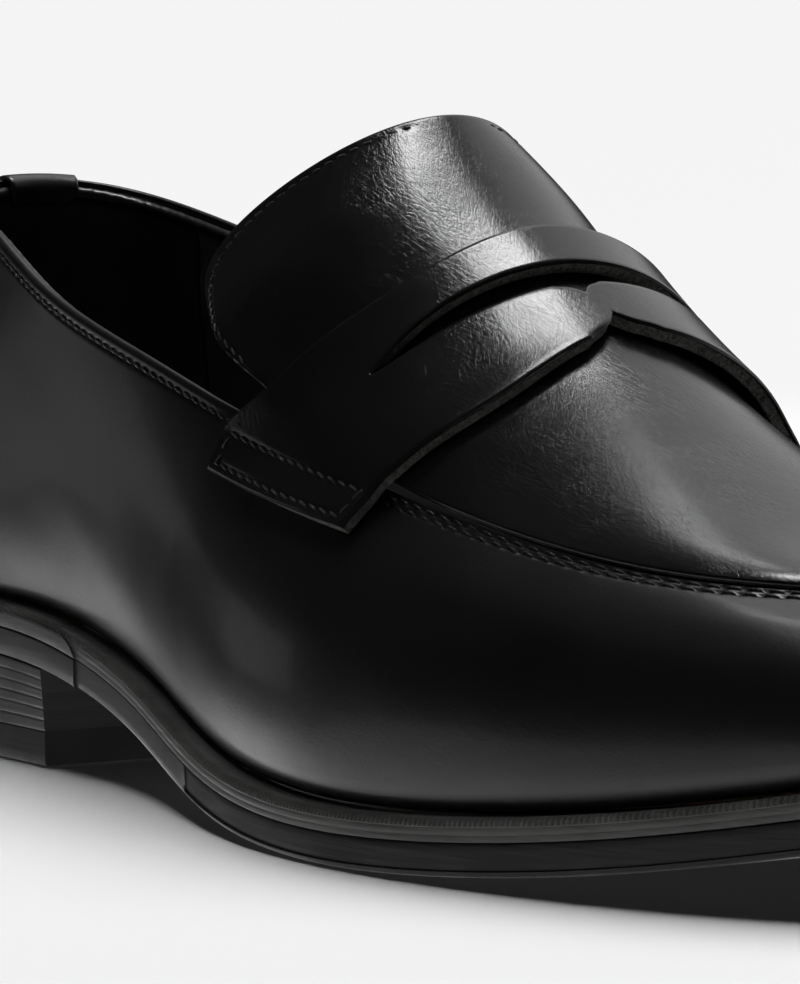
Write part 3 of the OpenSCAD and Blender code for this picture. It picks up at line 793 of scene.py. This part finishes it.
def build_inside():
    rows = [(-5.6, 3.25), (-5.25, 3.0), (-5.25, 2.3), (-5.6, 2.12)]

    def sock_z(x, k):
        return ground(x) + cushion(x) + rows[k][1]

    def dished(x, q, k):
        return (-.55 + .55 * (2 * q - 1)**2) * (k == 0)
    # Front and heel parts of the sock, with a fine joint between them.
    plate("sock_front", TOE, [(o, -71.0) for o, _ in rows], sock_z, SOCK, "sock_lining",
          160, 18, dished)
    plate("sock_heel", 0, [(o, -71.3) for o, _ in rows], sock_z, SOCK, None,
          100, 18, dished)
    pad_rows = [(-7.5, 1.0), (-5.6, .75), (-5.3, .35), (-7.2, 0)]
    pad = plate("heel_cushion", 0, [(o, -72.0 - .6 * abs(1 - 2 * f)) for o, f in pad_rows],
                lambda x, k: ground(x) + 2.02 + (cushion(x) - .12) * pad_rows[k][1], FOAM, "heel_pad",
                90, 14, lambda x, q, k: (.25 * (1 - (2 * q - 1)**2) - .3) * (k == 0))
    for node, material in (("bottom_filler", CORK), ("shank", STEEL), ("shank_rivets", BRASS),
                           ("insole_board", BOARD), ("toe_puff", STIFF), ("heel_counter", STIFF)):
        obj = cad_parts[node]
        if not obj.material_slots:
            obj.data.materials.append(material)
        for place in obj.material_slots:
            place.material = material


# ---------------- upper
def wall_path(t, down, out=0.0):
    v = 1 - down / wall_height(t)
    return wall_at(t, v, out + 0 * t), wall_normal(t, v)


def stitch_phase(t, down, pitch, low, high):
    """Number of stitches sewn up to each station of a row between two stations."""
    line = np.linspace(low, high, 900)
    s = distance_along(wall_path(line, down)[0])
    count = max(1, round(s[-1] / pitch))
    return np.interp(t, line, s) / s[-1] * count


COLLAR_PITCH, APRON_PITCH = 2.9, 3.1
COLLAR_RUN, APRON_RUN = (-4.75, 4.75), (5.7, 12.3)
ROW_NEAR, ROW_FAR, COLLAR_ROW = 1.35, 2.95, 2.1


def build_wall():
    n = 1080
    t = np.arange(n) * COUNT / n
    high = wall_height(t)
    down = np.array([0, .12, .3, .55, .85, 1.2, 1.6, 2.0, 2.45, 2.9, 3.35, 3.85, 4.3, 4.8, 5.4, 6.2])
    low = np.array([0, .006, .016, .035, .065, .105, .16, .23, .31, .40, .50, .60, .70, .79, .87, .94])
    hem = 1 - ease((behind(t) - 4.5) / .4)
    top = 1 - .2 * hem / high
    start = top - 7.6 / high
    v = np.concatenate([low[None] * start[:, None], top[:, None] - down[::-1][None] / high[:, None]], 1)
    tt = np.repeat(t[:, None], v.shape[1], 1)
    p, nrm = wall(tt, v), wall_normal(tt, v)
    depth = (1 - v) * high[:, None]
    wrap_t = np.where(tt > TOE, tt - COUNT, tt)
    lift = np.zeros_like(v)
    collar = 1 - ease((behind(tt) - 4.5) / .3)
    phase = stitch_phase(wrap_t, COLLAR_ROW, COLLAR_PITCH, *COLLAR_RUN)
    # Leather swells between the top edge and its row of stitches.
    lift += collar * (.14 * hill(depth - 1.1, .5) - (.26 - .1 * np.cos(2 * math.pi * phase))
                      * hill(depth - COLLAR_ROW, .42))
    inside = ease((tt - APRON_RUN[0] + .05) / .1) * ease((APRON_RUN[1] + .05 - tt) / .1)
    for row in (ROW_NEAR, ROW_FAR):
        phase = stitch_phase(tt, row, APRON_PITCH, *APRON_RUN)
        lift -= inside * (.2 + .16 * np.cos(2 * math.pi * phase)) * hill(depth - row, .42)
    # Slow hand-lasted unevenness of the side.
    lift += .16 * np.sin(3.1 * tt + 4 * v) * np.sin(9 * v + 1.7 * tt) * np.sin(math.pi * v)
    # The foot of the wall is drawn in under the shoe.
    foot = np.clip(1 - v * high[:, None] / 1.6, 0, 1)
    lift -= .9 * foot**2
    quads = grid_quads(n, v.shape[1], True)
    edge = (.4 + .3 * hem[:, None] + 0 * v).reshape(-1)
    slab("upper_side", p, nrm, quads, 0, -UPPER_T, LEATHER, "upper_wall", edge, .25,
         lift.reshape(-1))


def tongue_line(a):
    """Row of stitches just inside the free edge of the tongue, a from 0 to pi."""
    c, s, e, start = np.cos(a), np.sin(a), .27, 4.4
    return start + (5.91 - start) * s**e, .5 - .484 * np.sign(c) * abs(c)**e


def apron_grid(rows, cols, margin, first, short, crowding):
    """Places on the apron, off its side edges and short of the tongue's end, and their quads."""
    c = np.linspace(0, 1, rows)
    c = c - crowding * np.sin(2 * math.pi * c)
    share = crowded(cols)
    w = first + (tongue_end(share) - short - first) * c[:, None]
    t = np.repeat(margin + (1 - 2 * margin) * share[None], rows, 0)
    return w, t, grid_quads(rows, cols)


def build_apron():
    w, tt, quads = apron_grid(230, 151, .004, .1, .024, .06)
    p, nrm = apron(w, tt).reshape(-1, 3), apron_normal(w, tt)
    line = apron(*tongue_line(np.linspace(0, math.pi, 700)))
    lift = -.22 * hill(path_distance(p, line), .6)
    lift += .12 * np.sin(2.3 * w + 5 * tt).reshape(-1) * np.sin(7 * tt).reshape(-1)
    slab("apron_and_tongue", p, nrm, quads, APRON_LIFT, APRON_LIFT - APRON_T, APRON_LEATHER,
         "apron_tongue", .55, .25, lift)
    w, tt, quads = apron_grid(90, 61, .03, .5, .18, 0)
    depth = APRON_LIFT - APRON_T - .1
    slab("tongue_backing", apron(w, tt), apron_normal(w, tt), quads, depth, depth - LINING_T, LINING,
         "tongue_lining", .2, .35)


# ---------------- strap
def strap_rear(g):
    return 4.2 + .54 * hill(g - .5, .17)


def strap_front(g):
    return 3.12 + .55 * hill(g - .5, .14) + .16 * notch((g - .495) / .042)


def notch(x):
    """Pointed tip with a soft foot on each side."""
    x = np.minimum(1, abs(x))
    return (1 - x) * (1 - .35 * np.sin(math.pi * x))


SLOT_MIDDLE, SLOT_HALF, SLOT_ROW = .485, .205, 3.84


def slot_shape(g):
    return np.maximum(0, 1 - ((g - SLOT_MIDDLE) / SLOT_HALF)**2)


def slot_high(g):
    return SLOT_ROW + .52 * slot_shape(g)**1.1


def slot_low(g):
    return SLOT_ROW + .33 * slot_shape(g)**1.5 - .1 * notch((g - SLOT_MIDDLE) / .024)


def strap_base(g):
    over_apron = ease((g - .15) / .06) * ease((.85 - g) / .06)
    return .25 + (APRON_LIFT + .1) * over_apron + 1.4 * hill(g - .66, .1)


def strap_table():
    """Girth surface over the strap, smoothed so that it bends gently across the seam."""
    table = girth(np.linspace(2.9, 5.0, 43)[:, None], np.linspace(0, 1, 1001)[None])
    k = np.exp(-.5 * (np.arange(-42, 43) / 14)**2)
    k /= k.sum()
    for row in table:
        for c in range(3):
            row[:, c] = np.convolve(np.pad(row[:, c], 42, "edge"), k, "valid")
    return table


STRAP_TABLE = strap_table()


def strap_surface(w, g):
    g = g + .022 * (w - 3.12) / 1.08 * (ease((.22 - g) / .12) - ease((g - .78) / .12))
    a, b = (w - 2.9) / .05, g * 1000
    i, j = np.floor(a).astype(int), np.floor(b).astype(int)
    wa, wb = weights(a - i), weights(b - j)
    return sum(wa[m] * wb[n] * STRAP_TABLE[i + m - 1, j + n - 1] for m in range(4) for n in range(4))


def strap_normal(w, g):
    return upright(lambda a, b: strap_surface(b, a), g, w, .01, .03)


def strap_at(w, g, out):
    return strap_surface(w, g) + np.asarray(strap_base(g) + out)[..., None] * strap_normal(w, g)


def strap_columns(count):
    """Columns crowd at the slot's tips and round the notch."""
    g = np.linspace(.1, .9, 4000)
    want = 1 + 2.5 * hill(g - .281, .012) + 2.5 * hill(g - .689, .012) + 3 * hill(g - .49, .04)
    total = np.concatenate([[0], np.cumsum((want[1:] + want[:-1]) / 2)])
    return np.interp(np.linspace(0, total[-1], count), total, g)


def strap_grid(inset):
    """Girth places and quads of the strap's two halves, joined where the slot is shut."""
    across = 15
    g = strap_columns(520)
    half_in = inset * .0085
    g = .1 + half_in + (g - .1) * (.8 - 2 * half_in) / .8
    share = np.sin(np.linspace(-1, 1, across) * math.pi / 2) / 2 + .5
    width = inset * .055
    front, rear = strap_front(g) + width, strap_rear(g) - width
    low, high = slot_low(g) - width * .8, slot_high(g) + width * .8
    shut = slot_shape(g) <= 0
    low, high = np.where(shut, SLOT_ROW, low), np.where(shut, SLOT_ROW, high)
    w = np.concatenate([front[:, None] + (low - front)[:, None] * share,
                        high[:, None] + (rear - high)[:, None] * share], 1)
    ids = np.arange(w.size).reshape(w.shape)
    ids[shut, across] = ids[shut, across - 1]
    quads = [np.stack([ids[:-1, j], ids[:-1, j + 1], ids[1:, j + 1], ids[1:, j]], -1)
             for j in [*range(across - 1), *range(across, 2 * across - 1)]]
    used, quads = np.unique(np.concatenate(quads), return_inverse=True)
    g = np.repeat(g, w.shape[1])
    return w.reshape(-1)[used], g[used], quads.reshape(-1, 4)


def strap_box(side):
    """Closed path of the stitches through a strap end."""
    low, high, outer, inner = 3.18, 4.14, .113, .163
    a, b = (outer, inner) if side > 0 else (1 - outer, 1 - inner)
    corners = [(low, a), (high, a), (high, b), (low, b), (low, a)]
    sides = [np.linspace(*ends, n) for *ends, n in zip(corners, corners[1:], (60, 20, 60, 20))]
    return np.concatenate(sides).T


def build_strap():
    w, g, quads = strap_grid(.3)
    slab("strap_fibre", strap_at(w, g, 0), strap_normal(w, g), quads, CORE_T, 0, RAW, "strap_core",
         .1, .15, 0, .07, 5, 11)
    w, g, quads = strap_grid(0)
    p, lift = strap_at(w, g, 0), 0 * w
    for side in (1, -1):
        lift -= .3 * hill(path_distance(p, strap_at(*strap_box(side), 0)), .65)
    slab("strap_skin_piece", p, strap_normal(w, g), quads, CORE_T + SKIN_T, CORE_T + .02,
         STRAP_LEATHER, "strap_leather", .5, .1, lift)


# ---------------- collar, heel and linings
def roll(t, q, down, depth, across, tall):
    """Point and normal on a rounded edge along the top line; q turns from outside over the top."""
    v = 1 - down / wall_height(t)
    n, u = wall_normal(t, 0 * t + .97), unit(wall(t, 0 * t + 1) - wall(t, 0 * t + .94))
    c, s = np.cos(q)[..., None], np.sin(q)[..., None]
    point = wall_at(t, v, 0 * t - depth) + across * c * n + tall * s * u
    return point, unit(tall * c * n + across * s * u)


def build_collar():
    t = np.linspace(-4.78, 4.78, 520)
    q = np.arange(18) * 2 * math.pi / 18
    tt, qq = np.meshgrid(t, q, indexing="ij")
    p, n = roll(tt, qq, 2.0, 2.6, 1.1, 1.1)
    wave = .05 * np.sin(61 * tt) * np.sin(17 * tt + 2 * qq)
    loft("collar_edge", p + wave[..., None] * n, BINDING, "collar_binding")
    # Back stay: outside strip that folds over the top line and ends inside.
    i = np.linspace(-1, 1, 41)
    rows = []
    for v in np.linspace(.4, .98, 46):
        t = 4 * i * (.06 + .03 * v)
        rows.append((wall_at(t, v + 0 * i, 0 * t + .15), wall_normal(t, v + 0 * i)))
    edge = 4 * i * .09
    for a in np.linspace(.3, math.pi - .3, 18):
        rows.append(roll(edge, 0 * edge + a, 1.7, 1.8, 2.0, 1.75))
    for d in np.linspace(2.2, 4.2, 6):
        t = edge * (1 - .25 * ease((d - 2.2) / 2))
        v = 1 - d / wall_height(t)
        rows.append((wall_at(t, v, 0 * t - UPPER_T - LINING_T - .85), -wall_normal(t, v)))
    p, n = (np.array(part) for part in zip(*rows))
    slab("back_stay_strip", p, n, grid_quads(len(rows), 41), .95, 0, BINDING, "back_stay",
         .45, .1)


def stiff_zone(t):
    h = behind(t)
    return np.maximum(1 - ease((h - 2.6) / .7), 1 - ease((abs(h - TOE) - 1.9) / .7))


def lining_panel(name, low, high, material, node, seam=99):
    n = max(30, int((high - low) * 60))
    t = np.linspace(low + .012, high - .012, n)
    v = np.concatenate([np.linspace(0, .85, 18), np.linspace(.87, 1, 12)])
    tt, vv = np.meshgrid(t, v, indexing="ij")
    vv = vv * (wall_top(tt) - .01)
    depth = UPPER_T + .25 + (STIFF_T + .25) * stiff_zone(tt) * (1 - ease((vv - .74) / .2))
    soft = .35 * np.sin(2.7 * tt + 6 * vv) * np.sin(5 * vv) * np.sin(1.3 * tt)
    soft = np.maximum(0, soft) - .45 * hill(tt - seam, .02)
    p, nrm = wall_at(tt, vv, -depth), wall_normal(tt, vv)
    slab(name, p, -nrm, grid_quads(n, len(v))[:, ::-1], LINING_T, 0, material, node, .5, .1,
         soft.reshape(-1))


def build_linings():
    lining_panel("lining_heel_grip", -1.5, 1.5, SOCK, "heel_grip", 0)
    lining_panel("lining_lateral", 1.5, 5.25, LINING, "quarter_lining_lateral")
    lining_panel("lining_vamp", 5.25, 12.75, CLOTH, "vamp_lining")
    lining_panel("lining_medial", 12.75, 16.5, LINING, "quarter_lining_medial")


def build_threads():
    for name, down, node in (("upper", ROW_NEAR, "apron_threads"), ("lower", ROW_FAR, None)):
        row = wall_path(np.linspace(*APRON_RUN, 1400), down, -.1)
        stitches(f"stitches_apron_{name}", *row, node, APRON_PITCH, 2.45)
    row = wall_path(np.linspace(*COLLAR_RUN, 1600), COLLAR_ROW, -.1)
    stitches("stitches_collar", *row, "collar_threads", COLLAR_PITCH, 2.2)
    w, s = tongue_line(np.linspace(.0005, math.pi - .0005, 1600))
    stitches("stitches_tongue", apron_at(w, s, 0 * w + APRON_LIFT - .12), apron_normal(w, s),
             "tongue_threads", 2.3, 1.75, .17)
    for side, name in ((1, "lateral"), (-1, "medial")):
        w, g = strap_box(side)
        stitches(f"stitches_strap_{name}", strap_at(w, g, CORE_T + SKIN_T - .18), strap_normal(w, g),
                 f"strap_threads_{name}", 2.9, 2.25, closed=True)
    for side, name in ((-1, "lateral"), (1, "medial")):
        v = np.linspace(.42, .95, 160)
        t = -side * 3.5 * (.06 + .03 * v)
        vv = v * wall_top(0 * v)
        stitches(f"stitches_stay_{name}", wall_at(t, vv, 0 * v + 1.02), wall_normal(t, vv),
                 "back_stay_threads" if side < 0 else None, 2.9, 2.2)


build_bottom()
build_inside()
build_wall()
build_apron()
build_strap()
build_collar()
build_linings()
build_threads()


# ---------------- stage, light and camera
def studio_paper(name, reach, glow, tone=.86):
    """Pale paper; past its reach it glows evenly, so that floor and backdrop run together."""
    m = Skin(name, (tone, tone, tone), .9, Specular_IOR_Level=.2)
    far = m.new("ShaderNodeVectorMath", operation="LENGTH")
    m.put(far, 0, m.place)
    share = m.span(far.outputs["Value"], reach * .35, reach)
    m.put(m.shader, "Emission Color", (1, 1, 1, 1))
    m.put(m.shader, "Emission Strength", m.math("MULTIPLY", share, glow))
    colour = m.mix(share, (tone, tone, tone), (0, 0, 0))
    return m.done(m.bump(m.noise(700, 2), .05, .0002), colour)


def disc(name, section, material):
    """Stage surface of revolution through rows of radius and height, in metres."""
    turns = 96
    a = np.arange(turns) * 2 * math.pi / turns
    points = [(r * math.cos(b), r * math.sin(b), z) for b in a for r, z in section]
    return stage(name, points, grid_quads(turns, len(section), True)[:, ::-1].tolist(), material)


def stage(name, points, faces, material):
    obj = add(name, smooth_mesh(name, points, faces, material))
    return obj


def stage_floor():
    """Pale paper underfoot, a pale bowl far off, and a black flag over the toe."""
    paper = studio_paper("studio_paper", 1.6, .905)
    floor = disc("studio_floor", [(.01, -.0003), (.5, -.0003), (1, -.0003)], paper)
    floor.visible_glossy = False
    bowl = [(.9, -.0009), (2, -.0009), (3, -.0003)]
    bowl += [(3 + 1.5 * math.sin(a), 1.5 - 1.5 * math.cos(a)) for a in np.linspace(.1, math.pi / 2, 14)]
    far = disc("studio_backdrop", bowl + [(4.5, 5), (.01, 6)], paper)
    far.visible_glossy = far.visible_diffuse = far.visible_shadow = False
    corners = [(.02, .012), (.02, -.012), (-.06, -.012), (-.06, -.2), (.22, -.2), (.22, .012)]
    flag = stage("studio_flag", [(x, y, .2) for x, y in corners], [range(6)],
                 studio_paper("flag_cloth", 1.6, 0, .004))
    flag.visible_camera = flag.visible_diffuse = False
    return flag


def area_light(name, place, target, size, power, gloss=True):
    """Soft light that shows only as gloss, or else lights only the paper and the dull parts.

    The target is a point, or the lamp's turn in degrees when it faces straight down.
    """
    data = bpy.data.lights.new(name, "AREA")
    data.shape = "RECTANGLE"
    data.size, data.size_y = size
    data.energy = power
    obj = add(name, data)
    obj.location = place
    if isinstance(target, tuple):
        obj.rotation_euler = (Vector(target) - Vector(place)).to_track_quat("-Z", "Y").to_euler()
    else:
        obj.rotation_euler = (0, 0, math.radians(target))
    obj.visible_glossy, obj.visible_diffuse, obj.visible_camera = gloss, not gloss, False
    return obj


def studio(flag):
    """Dark room, a pale glow behind the inner side, bright paper below the horizon, soft lights."""
    world = bpy.data.worlds.new("studio_world")
    bpy.context.scene.world = world
    sky = Nodes(world, "Generated")
    split = sky.new("ShaderNodeSeparateXYZ")
    sky.put(split, 0, sky.place)
    x, y, z = split.outputs
    left, near, deep = (sky.math("MULTIPLY", axis, -1) for axis in (x, y, z))
    facing = sky.new("ShaderNodeVectorMath", operation="DOT_PRODUCT")
    sky.put(facing, 0, sky.place)
    sky.put(facing, 1, (-.303, .750, .588))
    glow = sky.span(facing.outputs["Value"], .83, .95, 0, .8)
    edge = sky.math("SUBTRACT", sky.span(near, .45, 1.05, 0, .22), .2)
    below = sky.span(sky.math("SUBTRACT", edge, z), -.05, .05)
    beside = sky.math("ADD", sky.span(left, .8, .97, 0, .9), .43)
    band = sky.math("SUBTRACT", sky.span(deep, .18, .36, 0, .65), sky.span(deep, .4, .6, 0, .75))
    paper = sky.math("MULTIPLY", below, sky.math("ADD", beside, band))
    background = world.node_tree.nodes["Background"]
    sky.put(background, "Color", (1, 1, 1, 1))
    sky.put(background, "Strength", sky.math("ADD", sky.math("ADD", glow, paper), .012))
    # A long softbox overhead, two small ones and a dim card on the left give the gloss.
    area_light("overhead", (-.12, .07, 1.0), 6, (.17, .46), 3.6)
    area_light("overhead_halo", (-.12, .07, 1.01), 6, (.28, .58), .9)
    area_light("tongue_kick", (-.19, -.16, 1.02), (0, 0, 0), (.16, .16), .6)
    area_light("behind", (-.51, .37, 1.0), (.08, 0, .05), (.14, .14), .2)
    area_light("side_card", (-.7, -.32, .05), (-.05, -.04, .06), (.26, .16), .042)
    wash = area_light("floor_wash", (-.55, .4, 1.6), (-.05, 0, 0), (1.5, 1.5), 42.5, False)
    # The flag throws no shadow of this one on the floor.
    passing = bpy.data.collections.new("passed_by_wash")
    passing.objects.link(flag)
    wash.light_linking.blocker_collection = passing
    passing.collection_objects[0].light_linking.link_state = "EXCLUDE"


def camera():
    azimuth, elevation, distance = math.radians(57.6), math.radians(4.1), .842
    target = Vector((-.02546, .01041, .0475))
    back = Vector((math.sin(azimuth) * math.cos(elevation), -math.cos(azimuth) * math.cos(elevation),
                   math.sin(elevation)))
    data = bpy.data.cameras.new("camera")
    data.sensor_width, data.lens = 36, 185.7
    data.clip_start, data.clip_end = .01, 50
    obj = add("camera", data)
    obj.location = target + distance * back
    obj.rotation_euler = back.to_track_quat("Z", "Y").to_euler()
    bpy.context.scene.camera = obj


studio(stage_floor())
camera()
bpy.context.scene.view_settings.view_transform = "Standard"
bpy.context.scene.cycles.use_denoising = True
